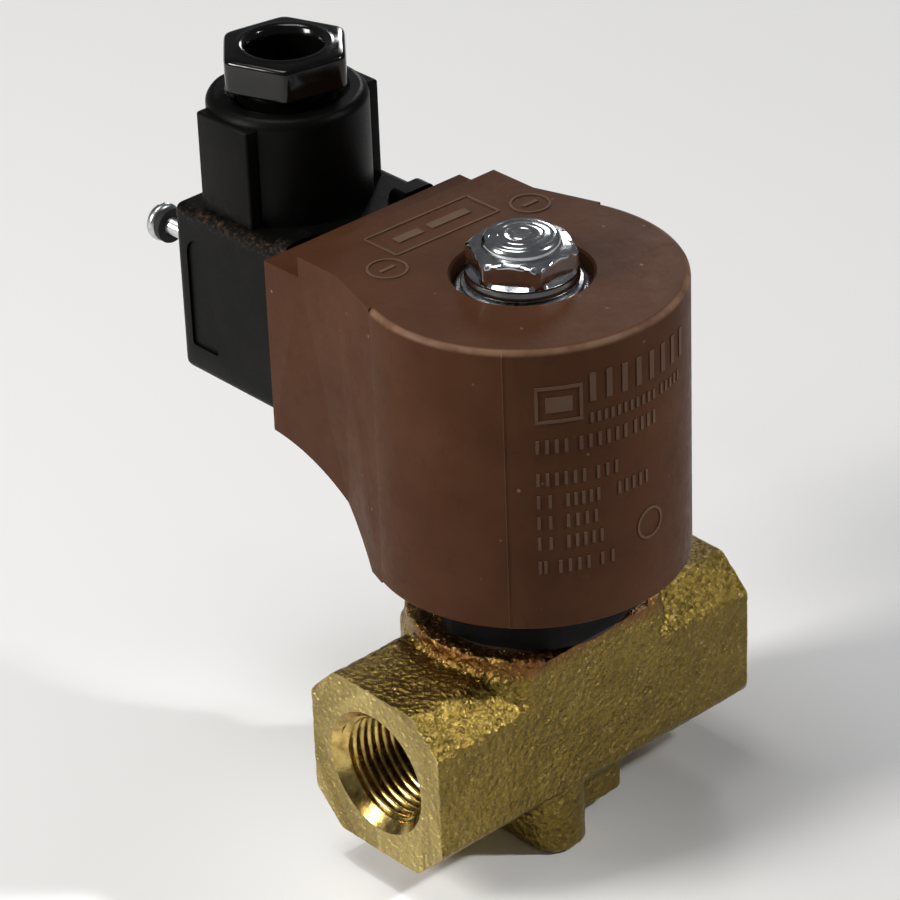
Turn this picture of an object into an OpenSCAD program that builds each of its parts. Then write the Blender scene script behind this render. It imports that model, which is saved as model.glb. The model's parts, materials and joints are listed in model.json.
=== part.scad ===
// Piston solenoid valve: brass body, plug-in coil and cable plug.
// X runs along the flow, Z up the coil. The origin is the centre of the inlet port's face.

/* [Body] */
// Length of the body between its two port faces
body_len = 60; // [56:1:80]
// Width and height of the body's octagonal bar
body_side = 26; // [25:0.5:32]
// Leg of the bar's four long chamfers
body_chamfer = 5; // [3:0.5:6]
// Diameter of the round collar that carries the coil
collar_d = 35.6; // [35:0.2:40]
// Height of the collar above the bar
collar_rise = 2.9; // [2:0.1:6]
// Thickness of the collar's rim round its recess
collar_rim = 1.4; // [1:0.1:1.5]
// Depth of the recess inside the collar
collar_recess = 1.2; // [0.8:0.1:1.6]
// Major diameter of the pipe thread in the ports
port_d = 16.66; // [13.16:0.01:16.8]
// Depth of each port
port_depth = 13; // [11:0.5:14]
// Diameter of the main orifice
orifice_d = 9; // [6:0.5:10]
// Bore of the piston chamber
chamber_d = 20; // [18:0.5:20.5]
// Width of the foot rib along the flow
foot_w = 8.6; // [7:0.1:10]
// Drop of the foot rib below the bar
foot_drop = 5.8; // [4:0.1:8]
// Offset of the foot rib from the coil's axis
foot_offset = -5; // [-8:0.1:-3]
// Length of the pad under the bar
foot_pad = 17; // [14:0.5:20]
// Drop of that pad below the bar
foot_pad_drop = 3.5; // [2:0.1:5]

/* [Armature] */
// Outer diameter of the armature tube
tube_d = 13.5; // [12:0.1:14.4]
// Wall of the armature tube
tube_wall = 0.7; // [0.5:0.1:1]
// Lift of the plunger
plunger_stroke = 2.5; // [2:0.1:3]
// Lift of the main piston
piston_stroke = 2; // [1.6:0.1:2]
// Length of the plunger's full-width part
plunger_len = 29; // [24:1:32]
// Across flats of the nut that holds the tube in the body
tube_nut_af = 27; // [25:0.5:27]

/* [Coil] */
// Diameter of the coil
coil_d = 45; // [43:0.5:52]
// Height of the coil
coil_h = 42.6; // [41:0.1:50]
// Gap between the collar and the coil
coil_gap = 8.1; // [7:0.1:10]
// Width of the coil's plug boss
boss_w = 36.4; // [34:0.2:40]
// Reach of the boss's face from the coil's axis
boss_reach = 32.2; // [30:0.2:38]
// Distance from the coil's axis to the shoulders where the boss's sides turn in to the coil
shoulder_reach = 16.9; // [15:0.1:20]
// Length of the lowered ledge at the boss's face
ledge_len = 7.2; // [5:0.1:8]
// Drop of that ledge below the coil's top
ledge_drop = 3.2; // [2:0.1:3.6]
// Radius of the arch under the boss
arch_r = 29; // [26:0.5:30]
// Diameter of the recess round the cap nut
recess_d = 19.4; // [19:0.2:20]
// Depth of the recess round the cap nut
recess_depth = 3; // [2.6:0.1:3.4]
// Thickness of the yoke's steel
yoke_t = 2.5; // [2:0.1:3]
// Across flats of the cap nut
nut_af = 13.6; // [13:0.1:14]

/* [Plug] */
// Width of the plug
plug_w = 28; // [27:0.5:30]
// Height of the plug
plug_h = 26.4; // [26:0.2:28]
// Depth of the plug, away from the coil
plug_depth = 24.4; // [23:0.2:30]
// Height of the plug's centre above the coil's base
plug_rise = 25; // [24.6:0.1:25.4]
// Wall of the plug
plug_wall = 2; // [1.6:0.1:2.2]
// Diameter of the plug's cable tower
tower_d = 23; // [21:0.2:23.6]
// Height of the cable tower
tower_h = 16.1; // [14:0.1:20]
// Width of the flat pads beside the tower
pad_w = 10.8; // [9:0.1:12]
// Distance between the pads' outer faces
pad_span = 24.4; // [24:0.1:27]
// Across flats of the cable gland's nut
gland_af = 17; // [16:0.5:18]
// Height of the gland nut's hexagon
gland_h = 5.3; // [4:0.1:8]
// Bore through the gland nut
gland_bore_d = 10.4; // [9:0.1:11]
// Drop of the blades' and screw's centre below the plug's
pin_drop = 2.5; // [2:0.1:3]
// Length of the plug's long screw, under its head
screw_len = 32; // [30:0.5:34]
// How far the long screw is backed out
screw_out = 18.5; // [10:0.5:20]

/* [Fits] */
// Radial clearance of sliding and turning fits
run_fit = 0.05; // [0.03:0.01:0.08]
// Gap between flat faces that move past each other
face_gap = 0.1; // [0.05:0.05:0.2]
// Clearance round the flat blades in their contacts
blade_fit = 0.1; // [0.05:0.05:0.15]

/* [Hidden] */
$fn = 96;
eps = 0.01;
over = 1;

// Levels and stations of the body
axis_x = body_len / 2;
body_top = body_side / 2;
collar_top = body_top + collar_rise;
collar_floor = collar_top - collar_recess;
chamber_r = chamber_d / 2;
chamber_floor = -0.4;
seat_z = 1;
seat_wall = 1.8;
socket_r = chamber_r + 1.6;
socket_z = seat_z + 8.5;
inlet_r = 3;
inlet_z = 3;
outlet_r = 3.4;
outlet_z = -4.8;
well_floor = -8.2;

// Piston
seal_r = 6.4;
seal_t = 1.6;
seal_stand = 0.6;
piston_z0 = seat_z + seal_stand;
piston_r = chamber_r - 0.3;
piston_z1 = seat_z + 8;
ring_z = piston_z0 + 4;
ring_h = 1.4;
ring_depth = 1.6;
pilot_r = 0.8;
nipple_r = 1.7;
nipple_z = piston_z1 + 0.8;
spring_wire = 0.6;
piston_spring_r = 8;

// Armature tube, plunger and fixed core
tube_r = tube_d / 2;
bore_r = tube_r - tube_wall;
plunger_r = bore_r - run_fit;
tube_z0 = nipple_z + 3.4;
plug_disc_r = 2.1;
plug_disc_t = 1.6;
plunger_nose_r = plunger_r - 1.4;
plunger_nose_z = nipple_z + 0.6;
plunger_z0 = tube_z0 + 1.8;
plunger_z1 = plunger_z0 + plunger_len;
core_z0 = plunger_z1 + plunger_stroke;
spring_well_r = 3;
spring_well_depth = 8;
plunger_spring_r = 2.3;
stud_r = 4;

// Coil
coil_z0 = collar_top + coil_gap;
coil_z1 = coil_z0 + coil_h;
coil_r = coil_d / 2;
sleeve_r = tube_r + run_fit;
yoke_z1 = coil_z1 - recess_depth;
yoke_z0 = coil_z0 + 2.2;
yoke_half = coil_r - 4.5;
yoke_w = 20;
bobbin_z0 = yoke_z0 + yoke_t;
bobbin_z1 = yoke_z1 - yoke_t;
bobbin_wall = 1.2;
bobbin_flange = 1.5;
bobbin_r = yoke_half - yoke_t - 1.2;
winding_r = bobbin_r - 0.6;
boss_z1 = coil_z1 - ledge_drop;
arch_y = boss_reach + 1.8;
arch_top = coil_z0 + 12.8;

// Tube nut and gasket
gasket_t = 0.5;
tube_nut_z0 = collar_floor + gasket_t;
tube_nut_hex_z1 = coil_z0 - 2.4;
spigot_r = socket_r - 0.05;
spigot_z = socket_z + 0.1;
spring_room_r = chamber_r - 0.1;

// Cap nut and washers
tube_z1 = yoke_z1 - 0.2;
washer_t = 1;
washer_r = recess_d / 2 - 0.5;
washer_z = yoke_z1 + face_gap;
dish_r = 8.4;
dish_t = 0.7;
dish_rise = 0.5;
dish_z = washer_z + washer_t;
cap_z0 = dish_z + dish_t + dish_rise;
cap_flange_r = 7.8;
cap_hex_z0 = cap_z0 + 1.5;
cap_hex_h = 3.3;
cap_hex_z1 = cap_hex_z0 + cap_hex_h;
cap_top_r = 5.35;
cap_top_h = 1.5;
stud_z1 = cap_hex_z1 - 1;

// Plug
plug_zc = coil_z0 + plug_rise;
plug_z0 = plug_zc - plug_h / 2;
plug_z1 = plug_zc + plug_h / 2;
seal_plate = 0.6;
plug_y0 = boss_reach + seal_plate;
plug_y1 = plug_y0 + plug_depth;
tower_y = plug_y0 + 14.5;
tower_z1 = plug_z1 + tower_h;
pad_step = 1.2;
tower_bore_r = 7.2;
tower_ledge_r = 5.2;
tower_ledge_z = plug_z1 + 0.6;
pin_z = plug_zc - pin_drop;
blade_w = 6.3;
blade_t = 0.8;
blade_out = 9;
blade_in = 8;
blade_pitch = 9;
clip_wall = 0.7;
clip_len = 8;
block_gap = 0.4;
block_depth = 12.6;
screw_r = 1.5;
screw_hole_r = screw_r + 0.1;
head_r = 3;
head_h = 2.4;
slot_w = 0.8;
slot_depth = 1.2;
screw_y = plug_y1 + 1.2 + screw_out;
insert_r = 2.8;
insert_len = 11;

// Cable gland
nut_gap = 1.7;
gland_z0 = tower_z1 + nut_gap;
gland_z1 = gland_z0 + gland_h;
gland_spigot_z = tower_z1 - 5;
gland_bore_r = gland_bore_d / 2;
gland_lip = 0.7;
grommet_hole_r = 3.6;
grommet_r = tower_bore_r - 0.4;
gland_washer_t = 1;

// Moves its children from the coil's axis to their place on the body.
module on_axis()
    translate([axis_x, 0, 0])
        children();

// A round disc, tube or hole between two levels.
module disc(r, z0, z1)
    translate([0, 0, z0])
        cylinder(r = r, h = z1 - z0);

module tube(r_out, r_in, z0, z1)
    difference() {
        disc(r_out, z0, z1);
        disc(r_in, z0 - over, z1 + over);
    }

// A hexagonal prism with two flats facing the ends of Y, turned by turn.
module hexagon(af, z0, z1, turn = 0)
    translate([0, 0, z0])
        rotate([0, 0, turn])
            cylinder(r = af / sqrt(3), h = z1 - z0, $fn = 6);

// A rod along Y between two stations, at a height.
module rod_y(r, y0, y1, z)
    translate([0, y0, z])
        rotate([-90, 0, 0])
            cylinder(r = r, h = y1 - y0);

module block_y(w, h, y0, y1, z)
    translate([-w / 2, y0, z - h / 2])
        cube([w, y1 - y0, h]);

// A round wire wound as a helix of closed, flattened ends.
function ring_points(r, z, a, wire, sides) =
    [for (s = [0:sides - 1])
        let (b = 360 * s / sides)
        [(r + wire / 2 * cos(b)) * cos(a), (r + wire / 2 * cos(b)) * sin(a), z + wire / 2 * sin(b)]];

module helix(r, wire, z0, z1, turns, sides = 8, steps = 20) {
    count = floor(turns * steps);
    rise = z1 - z0 - wire;
    points = [for (i = [0:count])
        each ring_points(r, z0 + wire / 2 + rise * i / count, 360 * i / steps, wire, sides)];
    walls = [for (i = [0:count - 1], s = [0:sides - 1])
        let (n = (s + 1) % sides)
        [i * sides + s, (i + 1) * sides + s, (i + 1) * sides + n, i * sides + n]];
    first = [for (s = [0:sides - 1]) s];
    last = [for (s = [sides - 1:-1:0]) count * sides + s];
    polyhedron(points, concat([first], walls, [last]), convexity = 6);
}

// ---------- Body ----------

module octagon(side, leg)
    polygon([
        [side / 2, side / 2 - leg], [side / 2 - leg, side / 2],
        [-side / 2 + leg, side / 2], [-side / 2, side / 2 - leg],
        [-side / 2, -side / 2 + leg], [-side / 2 + leg, -side / 2],
        [side / 2 - leg, -side / 2], [side / 2, -side / 2 + leg]]);

module foot() {
    round_y = body_side / 2 - foot_w / 2;
    translate([foot_offset, 0, -body_top - foot_drop]) {
        for (y = [-round_y, round_y])
            translate([0, y, 0])
                cylinder(r = foot_w / 2, h = foot_drop + body_chamfer);
        translate([-foot_w / 2, -round_y, 0])
            cube([foot_w, 2 * round_y, foot_drop + body_chamfer]);
    }
    pad_depth = body_side - 2 * body_chamfer + 2.6;
    translate([-foot_pad / 2, -pad_depth / 2, -body_top - foot_pad_drop])
        cube([foot_pad, pad_depth, foot_pad_drop + body_chamfer]);
}

module body_blank() {
    translate([-axis_x, 0, 0])
        rotate([90, 0, 90])
            linear_extrude(body_len)
                octagon(body_side, body_chamfer);
    intersection() {
        disc(collar_d / 2, 0, collar_top);
        translate([-collar_d / 2, -body_side / 2, 0])
            cube([collar_d, body_side, collar_top]);
    }
    foot();
}

module port()
    translate([-over, 0, 0])
        rotate([0, 90, 0])
            cylinder(r = port_d / 2, h = port_depth + over);

module valve_body()
    color("darkgoldenrod")
        on_axis()
            difference() {
                body_blank();
                translate([-axis_x, 0, 0])
                    port();
                mirror([1, 0, 0])
                    translate([-axis_x, 0, 0])
                        port();
                difference() {
                    disc(chamber_r, chamber_floor, collar_top + over);
                    disc(orifice_d / 2 + seat_wall, chamber_floor - over, seat_z);
                }
                disc(orifice_d / 2, well_floor, seat_z + over);
                disc(socket_r, socket_z, collar_top + over);
                disc(collar_d / 2 - collar_rim, collar_floor, collar_top + over);
                translate([port_depth - axis_x - over, 0, inlet_z])
                    rotate([0, 90, 0])
                        cylinder(r = inlet_r, h = axis_x - port_depth - chamber_r + 2 * over);
                translate([0, 0, outlet_z])
                    rotate([0, 90, 0])
                        cylinder(r = outlet_r, h = axis_x - port_depth + over);
            }

// ---------- Piston ----------

module piston()
    color("silver")
        on_axis()
            difference() {
                union() {
                    disc(piston_r, piston_z0, piston_z1);
                    disc(nipple_r, piston_z0, nipple_z);
                }
                tube(chamber_r, piston_r - ring_depth + 0.2, ring_z, ring_z + ring_h);
                disc(seal_r, piston_z0 - over, seat_z + seal_t);
                disc(pilot_r, 0, nipple_z + over);
            }

module piston_seal()
    color("ivory")
        on_axis()
            tube(seal_r, pilot_r, seat_z, seat_z + seal_t);

module piston_ring()
    color("ivory")
        on_axis()
            tube(chamber_r - run_fit, piston_r - ring_depth + 0.2, ring_z, ring_z + ring_h);

module piston_spring()
    color("lightsteelblue")
        on_axis()
            helix(piston_spring_r, spring_wire, piston_z1, tube_z0, 2.5);

// ---------- Armature ----------

module tube_gasket()
    color("ivory")
        on_axis()
            tube(tube_nut_af / 2, socket_r + 0.2, collar_floor, tube_nut_z0);

module tube_nut()
    color("dimgray")
        on_axis()
            difference() {
                union() {
                    hexagon(tube_nut_af, tube_nut_z0, tube_nut_hex_z1);
                    disc(spigot_r, spigot_z, tube_nut_z0 + over);
                    disc(tube_nut_af / 2 - 1.5, tube_nut_z0, coil_z0 - face_gap);
                }
                disc(tube_r, tube_z0 - over, coil_z0 + over);
                disc(spring_room_r, spigot_z - over, tube_z0);
            }

module armature_tube()
    color("lightgray")
        on_axis()
            tube(tube_r, bore_r, tube_z0, tube_z1);

module fixed_core()
    color("gainsboro")
        on_axis()
            difference() {
                union() {
                    disc(bore_r, core_z0, tube_z1);
                    disc(stud_r, core_z0, stud_z1);
                }
                tube(bore_r - 1, bore_r - 2.2, core_z0 - over, core_z0 + 1);
            }

module shading_ring()
    color("peru")
        on_axis()
            tube(bore_r - 1, bore_r - 2.2, core_z0, core_z0 + 1);

module plunger()
    color("gainsboro")
        on_axis()
            difference() {
                union() {
                    disc(plunger_r, plunger_z0, plunger_z1);
                    disc(plunger_nose_r, plunger_nose_z, plunger_z0 + over);
                }
                disc(plug_disc_r, plunger_nose_z - over, nipple_z + plug_disc_t);
                disc(spring_well_r, plunger_z1 - spring_well_depth, plunger_z1 + over);
            }

module plunger_seal()
    color("black")
        on_axis()
            disc(plug_disc_r, nipple_z, nipple_z + plug_disc_t);

module plunger_spring()
    color("lightsteelblue")
        on_axis()
            helix(plunger_spring_r, spring_wire, plunger_z1 - spring_well_depth, core_z0, 7);

module plain_washer()
    color("silver")
        on_axis()
            tube(washer_r, stud_r + 0.2, washer_z, washer_z + washer_t);

module spring_washer()
    color("silver")
        on_axis()
            rotate_extrude()
                polygon([
                    [stud_r + 0.2, dish_z + dish_rise], [dish_r, dish_z],
                    [dish_r, dish_z + dish_t], [stud_r + 0.2, dish_z + dish_rise + dish_t]]);

module cap_nut()
    color("whitesmoke")
        on_axis()
            difference() {
                union() {
                    hexagon(nut_af, cap_hex_z0, cap_hex_z1, 4);
                    translate([0, 0, cap_z0 + 0.5])
                        cylinder(r1 = cap_flange_r, r2 = nut_af / 2, h = cap_hex_z0 - cap_z0 - 0.5);
                    disc(cap_flange_r, cap_z0, cap_z0 + 0.5);
                    disc(cap_top_r, cap_hex_z0, cap_hex_z1 + cap_top_h);
                }
                disc(stud_r, cap_z0 - over, stud_z1);
            }

// ---------- Coil ----------

module yoke_shape() {
    for (z = [yoke_z0, yoke_z1 - yoke_t])
        translate([-yoke_half, -yoke_w / 2, z])
            cube([2 * yoke_half, yoke_w, yoke_t]);
    for (x = [-yoke_half, yoke_half - yoke_t])
        translate([x, -yoke_w / 2, yoke_z0])
            cube([yoke_t, yoke_w, yoke_z1 - yoke_z0]);
}

module blades(y0, y1, fit = 0) {
    w = blade_w + 2 * fit;
    t = blade_t + 2 * fit;
    for (x = [-blade_pitch, blade_pitch])
        translate([x, 0, 0])
            block_y(t, w, y0, y1, pin_z);
    block_y(w, t, y0, y1, pin_z + blade_pitch);
}

// The boss's outline: straight sides, then shoulders that run in to meet the coil at a tangent.
module boss_outline() {
    corner = [boss_w / 2, shoulder_reach];
    a = atan2(corner[1], corner[0]) - acos(min(1, coil_r / norm(corner)));
    meet = [coil_r * cos(a), coil_r * sin(a)];
    polygon([
        [-meet[0], meet[1]], meet, corner, [corner[0], boss_reach],
        [-corner[0], boss_reach], [-corner[0], corner[1]]]);
}

module coil_blank() {
    disc(coil_r, coil_z0, coil_z1);
    difference() {
        translate([0, 0, coil_z0])
            linear_extrude(coil_h)
                boss_outline();
        translate([-boss_w, boss_reach - ledge_len, boss_z1])
            cube([2 * boss_w, ledge_len + over, ledge_drop + over]);
        translate([-boss_w, arch_y, arch_top - arch_r])
            rotate([0, 90, 0])
                cylinder(r = arch_r, h = 2 * boss_w);
    }
}

module coil_shell()
    color("saddlebrown")
        on_axis()
            difference() {
                coil_blank();
                disc(sleeve_r, coil_z0 - over, coil_z1 + over);
                disc(recess_d / 2, yoke_z1, coil_z1 + over);
                disc(bobbin_r, bobbin_z0, bobbin_z1);
                yoke_shape();
                blades(boss_reach - blade_in, boss_reach + over);
                rod_y(insert_r, boss_reach - insert_len, boss_reach + over, pin_z);
            }

module bobbin()
    color("antiquewhite")
        on_axis() {
            tube(sleeve_r + bobbin_wall, sleeve_r, bobbin_z0, bobbin_z1);
            tube(bobbin_r, sleeve_r, bobbin_z0, bobbin_z0 + bobbin_flange);
            tube(bobbin_r, sleeve_r, bobbin_z1 - bobbin_flange, bobbin_z1);
        }

module winding()
    color("chocolate")
        on_axis()
            tube(winding_r, sleeve_r + bobbin_wall, bobbin_z0 + bobbin_flange, bobbin_z1 - bobbin_flange);

module yoke()
    color("slategray")
        on_axis()
            difference() {
                yoke_shape();
                disc(sleeve_r, yoke_z0 - over, yoke_z1 + over);
            }

module coil_terminals()
    color("gold")
        on_axis()
            blades(boss_reach - blade_in, boss_reach + blade_out);

module screw_insert()
    color("goldenrod")
        on_axis()
            difference() {
                rod_y(insert_r, boss_reach - insert_len, boss_reach, pin_z);
                rod_y(screw_hole_r, boss_reach - insert_len + over, boss_reach + over, pin_z);
            }

// ---------- Plug ----------

module plug_gasket()
    color("black")
        on_axis()
            difference() {
                block_y(plug_w, plug_h, boss_reach, plug_y0, plug_zc);
                blades(boss_reach - over, plug_y0 + over, blade_fit);
                rod_y(screw_hole_r, boss_reach - over, plug_y0 + over, pin_z);
            }

// The cable tower, cut flush with the plug's back, and the flat pads on its sides.
module tower() {
    difference() {
        translate([0, tower_y, 0])
            disc(tower_d / 2, plug_z1 - over, tower_z1);
        translate([-tower_d, plug_y1, plug_z1 - 2 * over])
            cube([2 * tower_d, tower_d, tower_h + 4 * over]);
    }
    translate([-pad_span / 2, tower_y - pad_w / 2, plug_z1 - eps])
        cube([pad_span, pad_w, tower_h - pad_step + eps]);
}

module plug_housing()
    color("#202020")
        on_axis()
            difference() {
                union() {
                    block_y(plug_w, plug_h, plug_y0, plug_y1, plug_zc);
                    tower();
                }
                block_y(plug_w - 2 * plug_wall, plug_h - 2 * plug_wall,
                    plug_y0 - over, plug_y1 - plug_wall, plug_zc);
                translate([0, tower_y, 0]) {
                    disc(tower_bore_r, tower_ledge_z, tower_z1 + over);
                    disc(tower_ledge_r, plug_z1 - 2 * plug_wall, tower_z1);
                }
                rod_y(screw_hole_r, plug_y0, plug_y1 + over, pin_z);
            }

module terminal_block() {
    w = plug_w - 2 * plug_wall - 0.2;
    h = plug_h - 2 * plug_wall - 0.2;
    y0 = plug_y0 + block_gap;
    color("dimgray")
        on_axis()
            difference() {
                block_y(w, h, y0, y0 + block_depth, plug_zc);
                clips(y0 - over, y0 + block_depth + over);
                rod_y(screw_hole_r, y0 - over, y0 + block_depth + over, pin_z);
            }
}

// The contact clips' outlines, which are also their pockets in the block.
module clips(y0, y1)
    blades(y0, y1, blade_fit + clip_wall);

module contacts() {
    y0 = plug_y0 + block_gap;
    color("gold")
        on_axis()
            difference() {
                clips(y0, y0 + block_depth);
                blades(y0 - over, boss_reach + blade_out + 0.4, blade_fit);
            }
}

module terminal_screws() {
    y0 = plug_y0 + block_gap + block_depth;
    color("silver")
        on_axis()
            for (p = [[-blade_pitch, 0], [blade_pitch, 0], [0, blade_pitch]])
                translate([p[0], 0, p[1]])
                    rod_y(1.9, y0, y0 + 1.8, pin_z);
}

module retaining_screw()
    color("gainsboro")
        on_axis()
            difference() {
                union() {
                    rod_y(screw_r, screw_y - screw_len, screw_y + eps, pin_z);
                    rod_y(head_r, screw_y, screw_y + head_h, pin_z);
                }
                block_y(slot_w, 2 * head_r + over, screw_y + head_h - slot_depth,
                    screw_y + head_h + over, pin_z);
            }

module screw_ring()
    color("black")
        on_axis()
            difference() {
                rod_y(head_r - 0.3, screw_y - 1, screw_y, pin_z);
                rod_y(screw_r, screw_y - 1 - over, screw_y + over, pin_z);
            }

// ---------- Cable gland ----------

module gland_nut()
    color("#181818")
        on_axis()
            translate([0, tower_y, 0])
                difference() {
                    union() {
                        hexagon(gland_af, gland_z0, gland_z1, -10);
                        disc(tower_bore_r - run_fit, gland_spigot_z, gland_z0 + over);
                    }
                    disc(gland_bore_r, gland_spigot_z - over, gland_z1 + over);
                    translate([0, 0, gland_z1 - gland_lip])
                        cylinder(r1 = gland_bore_r, r2 = gland_bore_r + gland_lip, h = gland_lip + eps);
                }

module gland_washer()
    color("gray")
        on_axis()
            translate([0, tower_y, 0])
                tube(grommet_r, grommet_hole_r + 0.3, gland_spigot_z - gland_washer_t - face_gap,
                    gland_spigot_z - face_gap);

module gland_seal()
    color("#303030")
        on_axis()
            translate([0, tower_y, 0])
                tube(grommet_r, grommet_hole_r, tower_ledge_z,
                    gland_spigot_z - gland_washer_t - face_gap);

valve_body();
tube_gasket();
tube_nut();
armature_tube();
fixed_core();
shading_ring();
plain_washer();
spring_washer();
cap_nut();
piston();
piston_seal();
piston_ring();
piston_spring();
plunger();
plunger_seal();
plunger_spring();
coil_shell();
bobbin();
winding();
yoke();
coil_terminals();
screw_insert();
plug_gasket();
plug_housing();
terminal_block();
contacts();
terminal_screws();
retaining_screw();
screw_ring();
gland_nut();
gland_washer();
gland_seal();
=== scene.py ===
"""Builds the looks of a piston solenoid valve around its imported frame."""
import json
import math
from types import SimpleNamespace

import bmesh
import bpy
from mathutils import Matrix, Vector, noise


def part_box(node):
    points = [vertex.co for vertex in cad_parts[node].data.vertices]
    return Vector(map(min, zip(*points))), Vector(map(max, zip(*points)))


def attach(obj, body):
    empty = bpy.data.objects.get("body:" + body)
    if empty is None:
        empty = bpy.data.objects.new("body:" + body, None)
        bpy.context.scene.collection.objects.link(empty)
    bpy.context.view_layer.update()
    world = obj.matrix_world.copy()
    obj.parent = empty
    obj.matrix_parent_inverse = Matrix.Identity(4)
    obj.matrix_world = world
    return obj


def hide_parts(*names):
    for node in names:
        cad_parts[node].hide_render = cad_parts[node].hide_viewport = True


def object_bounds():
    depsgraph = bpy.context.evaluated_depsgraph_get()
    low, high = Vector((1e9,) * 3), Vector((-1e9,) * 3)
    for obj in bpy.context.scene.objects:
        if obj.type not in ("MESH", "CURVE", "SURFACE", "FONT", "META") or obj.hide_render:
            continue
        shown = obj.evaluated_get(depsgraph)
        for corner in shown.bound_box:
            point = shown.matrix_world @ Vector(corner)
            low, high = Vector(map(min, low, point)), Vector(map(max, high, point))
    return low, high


bl_info = {
    "name": "Solenoid valve",
    "version": (1, 0, 0),
    "blender": (4, 5, 0),
    "location": "View3D > Sidebar > Valve",
    "description": "Models a brass piston solenoid valve with its coil and cable plug",
    "category": "Add Mesh",
}

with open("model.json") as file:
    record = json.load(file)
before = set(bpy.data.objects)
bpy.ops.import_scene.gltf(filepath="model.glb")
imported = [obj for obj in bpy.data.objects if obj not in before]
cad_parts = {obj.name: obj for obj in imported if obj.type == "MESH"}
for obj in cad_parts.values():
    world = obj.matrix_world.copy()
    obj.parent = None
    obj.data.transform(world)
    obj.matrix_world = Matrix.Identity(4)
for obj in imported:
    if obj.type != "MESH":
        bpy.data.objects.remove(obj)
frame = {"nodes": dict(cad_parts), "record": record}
cad_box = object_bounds()

MM = 0.001
TURN = 2 * math.pi
CAMERA_PLACE = Vector((-328.73, -355.67, 321.22))
CAMERA_AIM = Vector((-3.69, 11.78, 35.66))
CAMERA_ROLL = -2.239
CAMERA_LENS = 163.8
FLOOR_GAP = 0.0002
LEVEL = 0.99999
CAP_NUT_FLATS = 13.6
GLAND_NUT_FLATS = 17.0
PARTING_LINE = math.radians(-140.3)
tube_low, tube_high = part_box("armature_tube")
AXIS_X = (tube_low.x + tube_high.x) / 2


def box_mm(node):
    """A CAD node's box in millimetres, with x measured from the coil's axis."""
    low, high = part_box(node)
    shift = Vector((AXIS_X, 0, 0))
    return (low - shift) / MM, (high - shift) / MM


# ---------- Sizes and colours ----------

def length(name, description, millimetres):
    return bpy.props.FloatProperty(
        name=name, description=description, default=millimetres * MM,
        min=0, unit="LENGTH", subtype="DISTANCE")


def paint(name, description, colour):
    return bpy.props.FloatVectorProperty(
        name=name, description=description, default=colour,
        min=0, max=1, size=3, subtype="COLOR")


class ValveSizes(bpy.types.PropertyGroup):
    chamfer: length("Bar chamfer", "Leg of the brass bar's four long chamfers", 5)
    collar: length("Collar radius", "Radius of the collar under the coil", 17.8)
    collar_rim: length("Collar rim", "Thickness of the collar's rim", 1.4)
    foot_width: length("Foot width", "Width of the foot rib along the flow", 8.6)
    foot_offset: length("Foot offset", "Distance of the foot rib before the coil's axis", 5)
    pad_length: length("Pad length", "Length of the pad under the bar", 17)
    pad_drop: length("Pad drop", "Drop of the pad below the bar", 3.5)
    grain: length("Forging grain", "Height of the dents in the forged skin", 0.09)
    port_mouth: length("Port mouth radius", "Radius of the countersink at a port's mouth", 9.25)
    port_root: length("Thread root radius", "Radius at the roots of the pipe thread", 8.33)
    port_crest: length("Thread crest radius", "Radius at the crests of the pipe thread", 7.48)
    port_pitch: length("Thread pitch", "Pitch of the pipe thread", 1.337)
    port_depth: length("Port depth", "Depth of each port", 13)
    coil_radius: length("Coil radius", "Radius of the moulded coil", 22.5)
    boss_half: length("Boss half width", "Half the width of the boss that takes the plug", 18.2)
    shoulder: length("Shoulder reach", "Distance from the axis to the boss's shoulders", 16.9)
    ledge_length: length("Ledge length", "Length of the lowered ledge at the boss's face", 7.2)
    ledge_drop: length("Ledge drop", "Drop of that ledge below the coil's top", 3.2)
    arch_radius: length("Arch radius", "Radius of the arch under the boss", 29)
    recess: length("Recess radius", "Radius of the recess round the cap nut", 9.7)
    recess_depth: length("Recess depth", "Depth of the recess round the cap nut", 3)
    mark: length("Mark height", "Height of the raised marks on the coil", 0.14)
    plug_wall: length("Plug wall", "Wall of the plug's housing", 2)
    tower: length("Tower radius", "Radius of the plug's cable tower", 11.5)
    pad_width: length("Tower pad width", "Width of the flat pads beside the tower", 10.8)
    pad_reach: length("Tower pad reach", "Distance of the pads' outer faces from the axis", 12.2)
    pad_step: length("Tower pad step", "Height of the tower's rim above the pads", 1.2)
    gland_bore: length("Gland bore", "Radius of the bore through the gland nut", 5.2)


class ValveColours(bpy.types.PropertyGroup):
    brass: paint("Forged brass", "Body of the forged skin", (0.27, 0.185, 0.040))
    # Bright brass for grain peaks and rubbed edges, and for the highlight painted on convex edges.
    brass_wear_and_highlight: paint("Bright brass", "Worn high spots of the forging", (0.82, 0.66, 0.27))
    # Brown near the collar: partly tarnished brass, partly painted shade under the coil.
    brass_brown_and_shade: paint("Tarnished brass", "Brown tarnish near the collar", (0.22, 0.095, 0.030))
    machined: paint("Machined brass", "Cut faces and threads", (1.0, 0.80, 0.33))
    resin: paint("Coil resin", "Brown moulded resin", (0.063, 0.0245, 0.0118))
    # Light resin for rubbed patches and marks, and for the painted highlight along the coil's near
    # rim.
    resin_rub_and_highlight: paint("Worn resin", "Rubbed edges and marks of the resin", (0.20, 0.115, 0.075))
    nickel: paint("Bright plate", "Plated nuts and screws", (0.72, 0.74, 0.76))
    zinc: paint("Zinc plate", "Plated washers and frames", (0.60, 0.62, 0.63))
    nylon: paint("Plug nylon", "Black moulded nylon", (0.0022, 0.0022, 0.0020))
    nylon_worn: paint("Worn nylon", "Rubbed edges of the plug", (0.13, 0.075, 0.045))
    floor: paint("Floor", "Pale studio floor", (0.93, 0.93, 0.93))


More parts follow.
